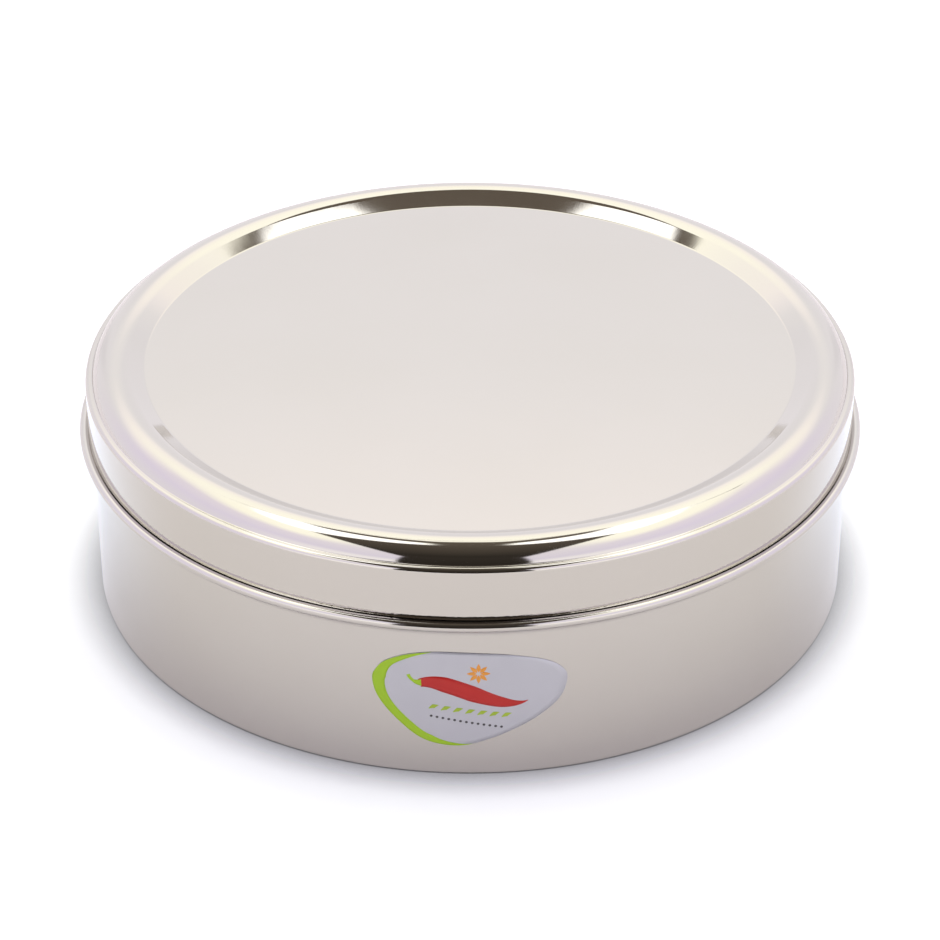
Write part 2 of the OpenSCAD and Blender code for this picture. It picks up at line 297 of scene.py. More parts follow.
def buildWorld(look):
    world = bpy.data.worlds.new("lightTent")
    bpy.context.scene.world = world
    world.use_nodes = True
    tree = world.node_tree
    tree.nodes.clear()
    full = look["strength"]
    way = addNode(tree, "ShaderNodeTexCoord").outputs["Generated"]
    split = addNode(tree, "ShaderNodeSeparateXYZ", {0: way})
    x, y, z = split.outputs
    side = addNode(tree, "ShaderNodeMath", {0: x}, operation="ABSOLUTE")
    shifted = addNode(tree, "ShaderNodeMath", {0: x, 1: look["openingShift"]}, operation="ADD")
    shifted = addNode(tree, "ShaderNodeMath", {0: shifted}, operation="ABSOLUTE")
    flat = addNode(tree, "ShaderNodeCombineXYZ", {0: x, 1: y})
    level = addNode(tree, "ShaderNodeVectorMath", {0: flat}, operation="LENGTH").outputs["Value"]
    bearing = addNode(tree, "ShaderNodeMath", {0: y, 1: level}, operation="DIVIDE")
    aside = addNode(tree, "ShaderNodeMath", {0: side, 1: level}, operation="DIVIDE")
    ramps = {}
    for part in ("back", "flank", "front"):
        ramp = addNode(tree, "ShaderNodeValToRGB", {0: z})
        stops = look[part]
        while len(ramp.color_ramp.elements) < len(stops):
            ramp.color_ramp.elements.new(0.5)
        for element, (at, light) in zip(ramp.color_ramp.elements, stops):
            element.position = at
            element.color = [c / full for c in light] + [1.0]
        ramps[part] = ramp
    toBack = addNode(tree, "ShaderNodeMapRange", {"Value": bearing, "From Min": 0.35, "From Max": 0.92},
                     interpolation_type="SMOOTHSTEP")
    toFront = addNode(tree, "ShaderNodeMapRange", {"Value": bearing, "From Min": -0.35, "From Max": -0.92},
                      interpolation_type="SMOOTHSTEP")
    tentA = addNode(tree, "ShaderNodeMix", {"Factor": toBack, 6: ramps["flank"], 7: ramps["back"]},
                    data_type="RGBA")
    tentB = addNode(tree, "ShaderNodeMix", {"Factor": toFront, 6: tentA.outputs[2], 7: ramps["front"]},
                    data_type="RGBA")
    # seams of the tent: two soft darker bands on the far side, low down
    offSeam = addNode(tree, "ShaderNodeMath", {0: aside, 1: look["seamAt"]}, operation="SUBTRACT")
    offSeam = addNode(tree, "ShaderNodeMath", {0: offSeam}, operation="ABSOLUTE")
    seam = addNode(tree, "ShaderNodeMapRange",
                   {"Value": offSeam, "From Min": look["seamWidth"], "From Max": 0.0,
                    "To Max": look["seamShare"]}, interpolation_type="SMOOTHSTEP")
    lowDown = addNode(tree, "ShaderNodeMapRange", {"Value": z, "From Min": 0.45, "From Max": 0.2},
                      interpolation_type="SMOOTHSTEP")
    farSide = addNode(tree, "ShaderNodeMapRange", {"Value": y, "From Min": 0.0, "From Max": 0.1})
    seam = addNode(tree, "ShaderNodeMath", {0: seam, 1: lowDown}, operation="MULTIPLY")
    seam = addNode(tree, "ShaderNodeMath", {0: seam, 1: farSide}, operation="MULTIPLY")
    tentC = addNode(tree, "ShaderNodeMix",
                    {"Factor": seam, 6: tentB.outputs[2], 7: (*look["seamLight"], 1)}, data_type="RGBA")
    # the opening, at infinity: on the near side |x| < max(a z, -b y)
    nearSide = addNode(tree, "ShaderNodeMapRange", {"Value": y, "From Min": 0.02, "From Max": -0.02})
    over = addNode(tree, "ShaderNodeMath", {0: z, 1: look["openingTop"]}, operation="MULTIPLY")
    ahead = addNode(tree, "ShaderNodeMath", {0: y, 1: -look["openingFront"]}, operation="MULTIPLY")
    half = addNode(tree, "ShaderNodeMath", {0: over, 1: ahead}, operation="MAXIMUM")
    gap = addNode(tree, "ShaderNodeMath", {0: half, 1: shifted}, operation="SUBTRACT")
    inside = addNode(tree, "ShaderNodeMapRange", {"Value": gap, "From Min": -0.015, "From Max": 0.015},
                     interpolation_type="SMOOTHSTEP")
    inside = addNode(tree, "ShaderNodeMath", {0: inside, 1: nearSide}, operation="MULTIPLY")
    dark = addNode(tree, "ShaderNodeMix", {"Factor": z, 6: [c / full for c in look["darkLow"]] + [1],
                                           7: [c / full for c in look["darkHigh"]] + [1]},
                   data_type="RGBA")
    withDark = addNode(tree, "ShaderNodeMix", {"Factor": inside, 6: tentC.outputs[2], 7: dark.outputs[2]},
                       data_type="RGBA")
    glow = addNode(tree, "ShaderNodeBackground", {"Color": withDark.outputs[2], "Strength": full})
    addNode(tree, "ShaderNodeOutputWorld", {"Surface": glow})


# The roof of the tent right above the box, in millimetres as seen from above: the slot that the
# camera looks through, and the white lamps on both sides of it. Only mirror reflections see it.
# The far part leans, and shows only its near face.
roofLook = {
    "height": 0.42, "pitch": 3.0, "blur": 5.0, "reachX": 260, "nearY": -470, "farY": 270,
    "lampLight": (2.3, 2.3, 2.2), "darkNear": (0.045, 0.038, 0.030), "darkFar": (0.165, 0.135, 0.105),
    "blurFar": 1.2, "pitchFar": 1.5, "splitY": 98, "lean": 0.58, "foot": -102.0,
    "ridgeR": 88.5, "ridgeZ": 0.064,     # the ridge whose reflections the far part is painted for
    "dark": [
        [(-200, -92), (-192, -150), (-168, -230), (-152, -310), (-165, -500), (122, -500), (130, -310),
         (145, -230), (164, -160), (182, -88), (40, -66), (-40, -62)],
        [(-38, -75), (-35, 45), (0, 62), (35, 45), (39, -75)],
        [(-36, -15), (-75, 15), (-130, 55), (-135, 95), (-85, 90), (-30, 55)],
        [(38, -25), (55, 2), (76, 18), (104, 55), (106, 135), (60, 92), (28, 50)]],
    "lamp": [
        [(40, -66), (100, -76), (182, -92), (215, -60), (225, 20), (190, 120), (112, 150), (104, 55),
         (76, 18), (55, 2), (42, -22)],
        [(-40, -62), (-100, -74), (-200, -95), (-230, -50), (-235, 20), (-190, 110), (-137, 95),
         (-130, 55), (-75, 15), (-42, -15)]],
    "darkFarSide": [
        [(-170, 98), (170, 98), (153, 238), (153, 252), (146, 250), (128, 222), (110, 206), (88, 217),
         (60, 232), (0, 250), (-60, 236), (-88, 222), (-108, 212), (-120, 214), (-130, 226), (-137, 232),
         (-134, 210), (-146, 150)]],
    "lampFarSide": [
        [(49, 98), (54, 119), (66, 138), (84, 158), (104, 183), (120, 203), (135, 215), (141, 214),
         (145, 190), (160, 98)],
        [(-52, 98), (-57, 122), (-66, 139), (-84, 162), (-102, 186), (-114, 200), (-124, 204),
         (-125, 180), (-150, 98)]],
}


# 1 inside a polygon and 0 outside, for whole arrays: counts the edges crossed by a ray towards +x
def insidePolygon(x, y, corners):
    c = np.array(corners, float)
    count = np.zeros(x.shape, int)
    for (ax, ay), (bx, by) in zip(c, np.roll(c, -1, 0)):
        crosses = (ay > y) != (by > y)
        at = ax + (y - ay) * (bx - ax) / (by - ay if by != ay else 1e-9)
        count += crosses & (x < at)
    return (count % 2).astype(float)


# Blurs an array with a Gaussian, along its rows and then its columns
def blurred(field, sigma):
    offset = np.arange(-int(3 * sigma) - 1, int(3 * sigma) + 2)
    kernel = np.exp(-0.5 * (offset / sigma) ** 2)
    kernel /= kernel.sum()
    for axis in (0, 1):
        field = np.apply_along_axis(lambda line: np.convolve(line, kernel, "same"), axis, field)
    return field


# One panel of the roof: a grid of points (x, y) with the light painted on it as an attribute
def roofPanel(name, look, dark, lamp, pitch, blur, fromY, toY, lean=False):
    xs = np.arange(-look["reachX"], look["reachX"] + 1, pitch)
    ys = np.arange(fromY, toY, pitch)
    y, x = np.meshgrid(ys, xs, indexing="ij")
    dark = np.max([insidePolygon(x, y, p) for p in dark], axis=0)
    lamp = np.max([insidePolygon(x, y, p) for p in lamp], axis=0)
    dark = dark * (1 - lamp)
    lamp, dark = (blurred(f, blur / pitch) for f in (lamp, dark))
    cover = np.clip(lamp + dark, 0, 1)
    share = (lamp / np.maximum(lamp + dark, 1e-4))[..., None]
    depth = np.clip((y + 400) / 450, 0, 1)[..., None]
    darkLight = np.array(look["darkNear"]) * (1 - depth) + np.array(look["darkFar"]) * depth
    light = darkLight * (1 - share) + np.array(look["lampLight"]) * share
    points = np.stack([x * mm, y * mm, 0 * x + look["height"]], -1)
    if lean:
        # carried along its rays, from where the ridge mirrors them, onto a leaning plane
        rise = look["height"] - look["ridgeZ"]
        startX = -0.5 * x
        startY = np.sqrt(np.maximum(look["ridgeR"] ** 2 - startX ** 2, 900.0))
        wayX, wayY = (x - startX) * mm / rise, (y - startY) * mm / rise
        far = (startY - look["foot"]) * mm / np.maximum(look["lean"] - wayY, 0.05)
        points = np.stack([startX * mm + wayX * far, startY * mm + wayY * far, look["ridgeZ"] + far], -1)
    rows, columns = x.shape
    grid = np.arange(rows * columns).reshape(rows, columns)
    quads = np.stack([grid[:-1, :-1], grid[1:, :-1], grid[1:, 1:], grid[:-1, 1:]], -1).reshape(-1, 4)
    mesh = bpy.data.meshes.new(name)
    mesh.from_pydata(points.reshape(-1, 3), [], quads.tolist())
    colour = mesh.attributes.new("light", "FLOAT_COLOR", "POINT")
    colour.data.foreach_set("color", np.dstack([light, cover]).astype(np.float32).ravel())
    material = emptyMaterial(f"lampCloth_{name}")
    tree = material.node_tree
    painted = addNode(tree, "ShaderNodeAttribute", attribute_name="light")
    back = addNode(tree, "ShaderNodeNewGeometry").outputs["Backfacing"]
    front = addNode(tree, "ShaderNodeMath", {0: 1.0, 1: back}, operation="SUBTRACT")
    shown = addNode(tree, "ShaderNodeMath", {0: front, 1: painted.outputs["Alpha"]},
                    operation="MULTIPLY")
    glow = addNode(tree, "ShaderNodeEmission", {"Color": painted.outputs["Color"]})
    clear = addNode(tree, "ShaderNodeBsdfTransparent")
    both = addNode(tree, "ShaderNodeMixShader", {0: shown, 1: clear, 2: glow})
    addNode(tree, "ShaderNodeOutputMaterial", {"Surface": both})
    material.cycles.emission_sampling = "NONE"
    mesh.materials.append(material)
    panel = bpy.data.objects.new(name, mesh)
    bpy.context.scene.collection.objects.link(panel)
    panel.visible_camera = panel.visible_diffuse = panel.visible_shadow = False
    panel.visible_transmission = panel.visible_volume_scatter = False


def buildRoof(look):
    roofPanel("tentRoof", look, look["dark"], look["lamp"], look["pitch"], look["blur"],
              look["nearY"], look["farY"])
    roofPanel("tentFlap", look, look["darkFarSide"], look["lampFarSide"], look["pitchFar"],
              look["blurFar"], look["splitY"] - 30, look["farY"], lean=True)


# Matt white card: its colour runs from a warm one near the camera to a cool one beside and behind
# the box, and to a third one further out there. On the mirrored card this run is painted light, brighter and
# bluer away from the camera
def cardFloor(name, nearColour, farColour, outerColour, seen, height):
    material = emptyMaterial(f"whiteCardPaintedLightShade_{name}")
    tree = material.node_tree
    place = addNode(tree, "ShaderNodeTexCoord").outputs["Object"]
    split = addNode(tree, "ShaderNodeSeparateXYZ", {0: place})
    far = addNode(tree, "ShaderNodeMapRange",
                  {"Value": split.outputs[1], "From Min": stageLook["farFromY"],
                   "From Max": stageLook["farToY"]}, interpolation_type="SMOOTHSTEP")
    away = addNode(tree, "ShaderNodeVectorMath", {0: place}, operation="LENGTH").outputs["Value"]
    outer = addNode(tree, "ShaderNodeMapRange",
                    {"Value": away, "From Min": stageLook["outerFrom"], "From Max": stageLook["outerTo"]},
                    interpolation_type="SMOOTHSTEP")
    # painted light: the mirrored card grows brighter and bluer beside, behind and around the box
    beyond = addNode(tree, "ShaderNodeMix", {"Factor": outer, 6: (*farColour, 1), 7: (*outerColour, 1)},
                     data_type="RGBA")
    tint = addNode(tree, "ShaderNodeMix", {"Factor": far, 6: (*nearColour, 1), 7: beyond.outputs[2]},
                   data_type="RGBA")
    colour = tint.outputs[2]
    if seen:
        # painted shade: ambient occlusion darkens the seen card near the foot of walls
        colour = addNode(tree, "ShaderNodeAmbientOcclusion",
                         {"Color": colour, "Distance": stageLook["cornerShade"]}, samples=8)
    shader = addNode(tree, "ShaderNodeBsdfDiffuse", {"Color": colour})
    addNode(tree, "ShaderNodeOutputMaterial", {"Surface": shader})
    angle = np.linspace(0, 2 * np.pi, 96, endpoint=False)
    radius = stageLook["floorRadius"]
    rim = np.stack([radius * np.cos(angle), radius * np.sin(angle), 0 * angle + height], 1)
    mesh = bpy.data.meshes.new(name)
    mesh.from_pydata(rim, [], [list(range(len(rim)))])
    mesh.materials.append(material)
    floor = bpy.data.objects.new(name, mesh)
    bpy.context.scene.collection.objects.link(floor)
    floor.visible_camera = seen
    floor.visible_glossy = floor.visible_diffuse = floor.visible_transmission = not seen
    floor.visible_shadow = not seen


def buildStage(look):
    # a bright card for the lens, and a quieter one that the steel mirrors
    cardFloor("floorSeen", look["seenColour"], look["seenColour"], look["seenColour"], True, 0.0)
    cardFloor("floorMirrored", look["mirroredNear"], look["mirroredFar"], look["mirroredOuter"],
              False, look["mirroredZ"])

    lens = bpy.data.cameras.new("camera")
    lens.sensor_width = 36
    lens.lens = look["lens"]
    lens.clip_start, lens.clip_end = 0.01, 20
    camera = bpy.data.objects.new("camera", lens)
    bpy.context.scene.collection.objects.link(camera)
    camera.location = look["cameraPlace"]
    aim = Vector(look["cameraTarget"]) - Vector(look["cameraPlace"])
    camera.rotation_mode = "QUATERNION"
    camera.rotation_quaternion = aim.to_track_quat("-Z", "Y")
    bpy.context.scene.camera = camera
    bpy.context.scene.view_settings.view_transform = "Standard"


buildWorld(tentLook)
buildRoof(roofLook)
buildStage(stageLook)
print("stage done")


steelLooks = {
    "lid": {"colour": "#CFCBC8", "worn": "#CBC7C2", "roughness": 0.045, "dullRoughness": 0.075,
            "radiusMm": 90.0, "cellRoundMm": 0.3, "cellAlongMm": 4.0, "lineDepthMm": 0.0012,
            "edgeFromZ": 50.5, "edgeToZ": 47.6, "edgeDentMm": 2.2, "edgeDepthMm": 0.06,
            "waveMm": 22.0, "waveDepthMm": 0.02, "peelMm": 1.6, "peelDepthMm": 0.0006, "patchMm": 45.0},
    "tub": {"colour": "#CECBC9", "worn": "#CAC6C2", "roughness": 0.07, "dullRoughness": 0.11,
            "radiusMm": 102.0, "cellRoundMm": 17.0, "cellAlongMm": 0.25, "lineDepthMm": 0.0005,
            "waveMm": 28.0, "waveDepthMm": 0.03, "peelMm": 2.0, "peelDepthMm": 0.0008, "patchMm": 40.0},
    "plate": {"colour": "#CDCAC6", "worn": "#C6C2BD", "roughness": 0.09, "dullRoughness": 0.15,
              "radiusMm": 98.0, "cellRoundMm": 19.6, "cellAlongMm": 0.29, "lineDepthMm": 0.0008,
              "waveMm": 25.0, "waveDepthMm": 0.03, "peelMm": 1.8, "peelDepthMm": 0.0008, "patchMm": 35.0},
    "cup": {"colour": "#CFCCC9", "worn": "#C8C4BF", "roughness": 0.07, "dullRoughness": 0.13,
            "radiusMm": 32.0, "cellRoundMm": 8.0, "cellAlongMm": 0.24, "lineDepthMm": 0.0006,
            "waveMm": 16.0, "waveDepthMm": 0.02, "peelMm": 1.4, "peelDepthMm": 0.0006, "patchMm": 22.0},
    "wire": {"colour": "#CCC9C6", "worn": "#C3BFBA", "roughness": 0.10, "dullRoughness": 0.17,
             "radiusMm": 12.0, "cellRoundMm": 0.3, "cellAlongMm": 1.1, "lineDepthMm": 0.0010,
             "waveMm": 6.0, "waveDepthMm": 0.006, "peelMm": 0.8, "peelDepthMm": 0.0005, "patchMm": 9.0},
    "spoon": {"colour": "#D0CDCA", "worn": "#C6C2BD", "roughness": 0.08, "dullRoughness": 0.14,
              "radiusMm": 60.0, "cellRoundMm": 20.0, "cellAlongMm": 0.38, "lineDepthMm": 0.0008,
              "waveMm": 12.0, "waveDepthMm": 0.012, "peelMm": 1.2, "peelDepthMm": 0.0006, "patchMm": 16.0},
}
steel = {part: stainlessSteel(f"buffedStainless_{part}", look) for part, look in steelLooks.items()}


# Flexographic print on a metallised plastic film: satin, slightly coloured metal under ink,
# with the fine grain of the film and a slow change of tone across it
filmScale = {"grainMm": 0.35, "depthMm": 0.001, "toneMm": 9.0}


def printedFilm(name, look):
    material = emptyMaterial(name)
    tree = material.node_tree
    place = addNode(tree, "ShaderNodeTexCoord").outputs["Object"]
    grain = addNode(tree, "ShaderNodeTexNoise",
                    {"Vector": place, "Scale": 1 / (filmScale["grainMm"] * mm), "Detail": 2.0})
    tone = addNode(tree, "ShaderNodeTexNoise",
                   {"Vector": place, "Scale": 1 / (filmScale["toneMm"] * mm), "Detail": 2.0})
    tint = addNode(tree, "ShaderNodeMix", {"Factor": tone, 6: linearColour(look["colour"]),
                                           7: linearColour(look["shade"])}, data_type="RGBA")
    bump = addNode(tree, "ShaderNodeBump", {"Height": grain, "Strength": 1.0,
                                            "Distance": filmScale["depthMm"] * mm})
    rough = addNode(tree, "ShaderNodeMapRange", {"Value": grain, "From Min": 0.3, "From Max": 0.7,
                                                 "To Min": look["roughness"] * 0.9,
                                                 "To Max": look["roughness"] * 1.1})
    shader = addNode(tree, "ShaderNodeBsdfPrincipled",
                     {"Base Color": tint.outputs[2], "Metallic": look["metallic"], "Roughness": rough,
                      "Normal": bump})
    addNode(tree, "ShaderNodeOutputMaterial", {"Surface": shader})
    return material


filmLooks = {
    "silver": {"colour": "#C4C5CF", "shade": "#BEBFC9", "roughness": 0.38, "metallic": 0.55},
    "green": {"colour": "#92BC14", "shade": "#A6CC2A", "roughness": 0.35, "metallic": 0.1},
    "leaf": {"colour": "#A9C23C", "shade": "#9AB532", "roughness": 0.4, "metallic": 0.1},
    "red": {"colour": "#C3201C", "shade": "#AE1714", "roughness": 0.35, "metallic": 0.05},
    "orange": {"colour": "#E8A24A", "shade": "#DF9339", "roughness": 0.38, "metallic": 0.1},
    "ink": {"colour": "#4E4C52", "shade": "#45434A", "roughness": 0.4, "metallic": 0.1},
}
film = {part: printedFilm(f"printedFilm_{part}", look) for part, look in filmLooks.items()}
print("finishes done")


tubSize = {"wallR": 101.6, "cornerR": 0.9, "beadZ": 45.95, "beadR": 1.35, "beadOut": 1.85,
           "flareZ": 42.0, "neckR": 101.5, "neckFillet": 0.8, "top": 59.8, "hemR": 0.95,
           "hemLeg": 1.3, "sheet": 0.6, "around": 360}


# Profile (radius, height): flat base, corner arc, upright wall, an arc that flares out and meets the
# bead's arc tangentially, a fillet into the neck, the neck, and a half circle rolled in at the top
def tubProfile(s):
    beadC = (s["wallR"] + s["beadOut"], s["beadZ"])
    rise = s["beadZ"] - s["flareZ"]
    flareR = (rise ** 2 + s["beadOut"] ** 2 - s["beadR"] ** 2) / (2 * (s["beadOut"] + s["beadR"]))
    flareC = (s["wallR"] + flareR, s["flareZ"])
    flareEnd = math.degrees(math.atan2(rise, beadC[0] - flareC[0]))
    neckX = s["neckR"] + s["neckFillet"]
    neckRise = math.sqrt((s["beadR"] + s["neckFillet"]) ** 2 - (beadC[0] - neckX) ** 2)
    neckC = (neckX, s["beadZ"] + neckRise)
    neckA = math.degrees(math.atan2(neckC[1] - s["beadZ"], neckC[0] - beadC[0]))
    hemC = (s["neckR"] - s["hemR"], s["top"] - s["hemR"])
    return joinProfile(
        [(0, 0)],
        arcPoints((s["wallR"] - s["cornerR"], s["cornerR"]), s["cornerR"], -90, 0, 9),
        arcPoints(flareC, flareR, 180, flareEnd, 5),
        arcPoints(beadC, s["beadR"], flareEnd - 180, neckA, 6),
        arcPoints(neckC, s["neckFillet"], neckA - 180, -180, 10),
        arcPoints(hemC, s["hemR"], 0, 180, 12),
        [(s["neckR"] - 2 * s["hemR"], s["top"] - s["hemR"] - s["hemLeg"])])


tubRings = spinRings(sheetProfile(tubProfile(tubSize), tubSize["sheet"]), tubSize["around"])
tub = ringMesh("tubBody", tubRings)
finishPiece(tub, steel["tub"], "tub", "tub_steel", "tub")


lidSize = {"discR": 86.5, "discZ": 62.8, "footR": 1.0, "crestR": 94.2, "ridgeR": 6.9, "top": 66.0,
           "ledgeZ": 61.7, "crease": 0.4, "skirtR": 102.4, "corner": 1.25, "skirtZ": 47.25,
           "sheet": 0.5, "around": 384}


# Profile from the axis out: disc, an arc that turns up and meets the ridge's arc on their common
# tangent, the ridge, the crease, the narrow ledge, the rounded corner and the upright skirt
def lidProfile(s):
    ridgeC = np.array([s["crestR"], s["top"] - s["ridgeR"]])
    footC = np.array([s["discR"], s["discZ"] + s["footR"]])
    run = ridgeC - footC
    rise = math.degrees(math.atan2(run[1], run[0])
                        + math.asin((s["footR"] + s["ridgeR"]) / np.linalg.norm(run)))
    creaseH = s["ledgeZ"] + s["crease"] - ridgeC[1]
    creaseC = (s["crestR"] + math.sqrt((s["ridgeR"] + s["crease"]) ** 2 - creaseH ** 2),
               s["ledgeZ"] + s["crease"])
    creaseA = math.degrees(math.atan2(creaseH, creaseC[0] - s["crestR"]))
    fromSkirt = joinProfile(
        [(s["skirtR"], s["skirtZ"])],
        arcPoints((s["skirtR"] - s["corner"], s["ledgeZ"] - s["corner"]), s["corner"], 0, 90, 4),
        arcPoints(creaseC, s["crease"], -90, creaseA - 180, 6),
        arcPoints(ridgeC, s["ridgeR"], creaseA, 90 + rise, 2),
        arcPoints(footC, s["footR"], rise - 90, -90, 3),
        [(0, s["discZ"])])
    return fromSkirt[::-1]


lidRings = spinRings(sheetProfile(lidProfile(lidSize), -lidSize["sheet"]), lidSize["around"])
lid = ringMesh("lidBody", lidRings)
finishPiece(lid, steel["lid"], "lid", "lid_steel", "lid")


plateSize = {"z": 45.0, "sheet": 0.5, "flatR": 86.0, "step": 3.0, "r": 98.5, "slope": 65.0,
             "footR": 1.5, "kneeR": 1.0, "edgeR": 0.4, "edgeLeg": 1.2, "around": 480}


# Profile: a flat plate, a slope between two tangent arcs, a level rim and its edge turned down
def plateProfile(s):
    slope = math.radians(s["slope"])
    footC = np.array([s["flatR"], s["z"] + s["footR"]])
    kneeZ = s["z"] + s["step"] - s["kneeR"]
    footEnd = footC + s["footR"] * np.array([math.sin(slope), -math.cos(slope)])
    kneeStart = kneeZ + s["kneeR"] * math.cos(slope)
    kneeX = footEnd[0] + (kneeStart - footEnd[1]) / math.tan(slope) + s["kneeR"] * math.sin(slope)
    edgeC = (s["r"] - s["sheet"] - s["edgeR"], s["z"] + s["step"] - s["edgeR"])
    return joinProfile(
        [(0, s["z"])],
        arcPoints(footC, s["footR"], -90, s["slope"] - 90, 5),
        arcPoints((kneeX, kneeZ), s["kneeR"], 90 + s["slope"], 90, 5),
        arcPoints(edgeC, s["edgeR"], 90, 0, 10),
        [(edgeC[0] + s["edgeR"], edgeC[1] - s["edgeLeg"])])


plate = ringMesh("innerPlate", spinRings(sheetProfile(plateProfile(plateSize), plateSize["sheet"]),
                                         plateSize["around"]))
finishPiece(plate, steel["plate"], "inner_plate", "plate_steel", "inner_plate")


cupSize = {"rimR": 32.6, "height": 44.0, "z": 0.8, "sheet": 0.5, "foot": 5.0, "taper": 1.0,
           "lip": 0.45, "pitch": 66.0, "around": 224}


# Profile: flat base, foot arc, a wall that widens by the taper, and a lip rolled out past level
def cupProfile(s):
    wallR = s["rimR"] - 2 * s["lip"] - s["sheet"]
    footC = (wallR - s["taper"] - s["foot"], s["z"] + s["foot"])
    lipC = (wallR + s["lip"], s["z"] + s["height"] - s["lip"] - s["sheet"])
    return joinProfile([(0, s["z"])], arcPoints(footC, s["foot"], -90, 0, 4),
                       arcPoints(lipC, s["lip"], 180, -60, 12))


cupRings = sheetProfile(cupProfile(cupSize), cupSize["sheet"])
cupPlaces = {"cup_centre": (0.0, 0.0)}
for number in range(6):
    bearing = math.radians(90 + 60 * number)
    cupPlaces[f"cup_{number + 1}"] = (cupSize["pitch"] * math.cos(bearing),
                                      cupSize["pitch"] * math.sin(bearing))
for node, centre in cupPlaces.items():
    look = dict(steelLooks["cup"], centre=(-centre[0] * mm, -centre[1] * mm, 0))
    cup = ringMesh(f"{node}_body", spinRings(cupRings, cupSize["around"], centre))
    finishPiece(cup, stainlessSteel(f"buffedStainless_{node}", look), node, "cup_steel", node)


ringSize = {"wireR": 1.1, "halfW": 11.5, "bar": 8.0, "armY": 10.0, "hingeZ": 46.9, "around": 28}


# Carries a round section along a flat closed path: point = path + r (cos b * side + sin b * up)
def wireRings(path, radius, around, height):
    ahead = np.roll(path, -1, 0) - np.roll(path, 1, 0)
    ahead /= np.linalg.norm(ahead, axis=1)[:, None]
    sideways = np.stack([-ahead[:, 1], ahead[:, 0]], 1)
    b = np.linspace(0, 2 * np.pi, around, endpoint=False)
    xy = path[:, None, :] + radius * np.cos(b)[None, :, None] * sideways[:, None, :]
    z = height + radius * np.sin(b)[None, :] + 0 * path[:, :1]
    return np.dstack([xy, z])


# Middle line of the ring, level and closed: a bar, two corners, two arms and half a circle
def ringPath(s):
    corner = s["halfW"] - s["bar"]
    return np.vstack([
        np.stack([np.linspace(-s["bar"], s["bar"], 25)[:-1], np.zeros(24)], 1),
        arcPoints((s["bar"], -corner), corner, 90, 0, 5)[:-1],
        np.stack([np.full(9, s["halfW"]), np.linspace(-corner, -s["armY"], 10)[:-1]], 1),
        arcPoints((0, -s["armY"]), s["halfW"], 0, -180, 2.5)[:-1],
        np.stack([np.full(9, -s["halfW"]), np.linspace(-s["armY"], -corner, 10)[:-1]], 1),
        arcPoints((-s["bar"], -corner), corner, 180, 90, 5)[:-1]])


ring = ringMesh("ringHandle", wireRings(ringPath(ringSize), ringSize["wireR"], ringSize["around"],
                                        ringSize["hingeZ"]), poles=False)
finishPiece(ring, steel["wire"], "ring_handle", "wire_steel", "ring_handle")

clipSize = {"width": 10.0, "sheet": 0.6, "bore": 1.25, "foot": 5.0, "edge": 0.14, "bend": 0.12}


# The strap's middle line in the yz plane: foot, short rise, half circle over the wire, and back down
def clipPath(s, plateTop, hingeZ):
    half = s["sheet"] / 2
    archR, footZ = s["bore"] + half, plateTop + half
    bend = s["bend"] + half
    left = joinProfile([(-s["bore"] - s["foot"], footZ)],
                       arcPoints((-archR - bend, footZ + bend), bend, -90, 0, 10))
    arch = arcPoints((0, hingeZ), archR, 180, 0, 6)
    right = left[::-1] * np.array([-1, 1])
    return np.vstack([left, arch, right])


# Carries a rounded rectangle along that line, and closes both ends on their middle point
def strapRings(path, s):
    ahead = np.gradient(path, axis=0)
    ahead /= np.linalg.norm(ahead, axis=1)[:, None]
    up = np.stack([-ahead[:, 1], ahead[:, 0]], 1)
    w, h, r = s["width"] / 2, s["sheet"] / 2, s["edge"]
    section = np.vstack([arcPoints((sx * (w - r), sz * (h - r)), r, a, a + 90, 22)
                         for sx, sz, a in ((1, 1, 0), (-1, 1, 90), (-1, -1, 180), (1, -1, 270))])
    yz = path[:, None, :] + section[None, :, 1:2] * up[:, None, :]
    x = section[None, :, 0] + 0 * path[:, :1]
    rings = np.dstack([x, yz])
    firstCap = rings[:1].mean(1, keepdims=True) + 0 * rings[:1]
    lastCap = rings[-1:].mean(1, keepdims=True) + 0 * rings[-1:]
    return np.concatenate([firstCap, firstCap * 0.02 + rings[:1] * 0.98, rings,
                           lastCap * 0.02 + rings[-1:] * 0.98, lastCap])


plateTop = plateSize["z"] + plateSize["sheet"]
clip = ringMesh("ringClip", strapRings(clipPath(clipSize, plateTop, ringSize["hingeZ"]), clipSize))
finishPiece(clip, steel["plate"], "inner_plate", "plate_steel", "ring_clip")


spoonSize = {"centre": (-42.0, 40.0), "bowlR": 13.0, "depth": 8.0, "z": 45.75, "length": 105.0,
             "neckW": 2.7, "endW": 5.0, "sheet": 0.8, "along": 220, "across": 33,
             "neckFrom": 8.0, "neckRun": 11.0,             # along x, where the bowl narrows
             "liftFrom": 9.0, "liftRun": 7.0,              # and where the dish turns to handle
             "handleFrom": 12.5, "handleKnots": (7.2, 9.2, 3.75, 0.95), "crown": 0.08}


